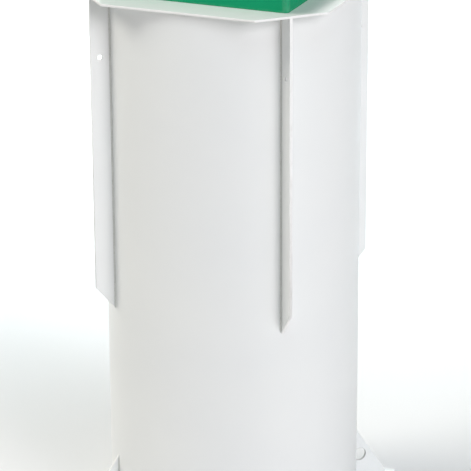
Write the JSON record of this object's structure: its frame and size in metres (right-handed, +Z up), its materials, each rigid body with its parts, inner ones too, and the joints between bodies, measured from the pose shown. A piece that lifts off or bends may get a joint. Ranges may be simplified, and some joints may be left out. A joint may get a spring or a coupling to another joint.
{
  "type": "septic tank",
  "caption": "Upright round plastic septic tank on a square base plate, with ribs under a square top flange, gussets at its foot and a square lid hinged over the hatch.",
  "frame": {"origin": "centre of the base plate's underside, where it rests on the ground", "axes": "+Z up along the tank's axis, -Y towards the tank's front, +X to the right seen from the front; the lid hinges at +Y"},
  "size_m": [0.868, 0.868, 2.0003],
  "materials": {
    "white_polypropylene": "extruded sheet, satin",
    "green_polypropylene": "extruded sheet, satin",
    "stainless_steel": "rolled, lightly brushed"
  },
  "bodies": {
    "tank": {"base_plate": "white_polypropylene", "wall_segment_01": "white_polypropylene", "wall_segment_02": "white_polypropylene", "wall_segment_03": "white_polypropylene", "wall_segment_04": "white_polypropylene", "wall_segment_05": "white_polypropylene", "wall_segment_06": "white_polypropylene", "wall_segment_07": "white_polypropylene", "wall_segment_08": "white_polypropylene", "wall_segment_09": "white_polypropylene", "wall_segment_10": "white_polypropylene", "wall_segment_11": "white_polypropylene", "wall_segment_12": "white_polypropylene", "rib_front_right": "white_polypropylene", "rib_rear_right": "white_polypropylene", "rib_rear_left": "white_polypropylene", "rib_front_left": "white_polypropylene", "gusset_front_right": "white_polypropylene", "gusset_rear_right": "white_polypropylene", "gusset_rear_left": "white_polypropylene", "gusset_front_left": "white_polypropylene", "top_flange": "white_polypropylene", "neck_front": "white_polypropylene", "neck_rear": "white_polypropylene", "neck_left": "white_polypropylene", "neck_right": "white_polypropylene", "flange_leaf_left": "stainless_steel", "flange_leaf_right": "stainless_steel", "hinge_pin_left": "stainless_steel", "hinge_pin_right": "stainless_steel"},
    "lid": {"lid_crown": "green_polypropylene", "lid_skirt_front": "green_polypropylene", "lid_skirt_rear": "green_polypropylene", "lid_skirt_left": "green_polypropylene", "lid_skirt_right": "green_polypropylene", "lid_slope_front": "green_polypropylene", "lid_slope_rear": "green_polypropylene", "lid_slope_left": "green_polypropylene", "lid_slope_right": "green_polypropylene", "lid_leaf_left": "stainless_steel", "lid_leaf_right": "stainless_steel"}
  },
  "joints": [
    {"name": "lid_hinge", "type": "hinge", "parent": "tank", "child": "lid", "pos_m": [0, 0.3343, 1.8693], "axis": [-1, 0, 0], "range_deg": [0, 95]}
  ]
}
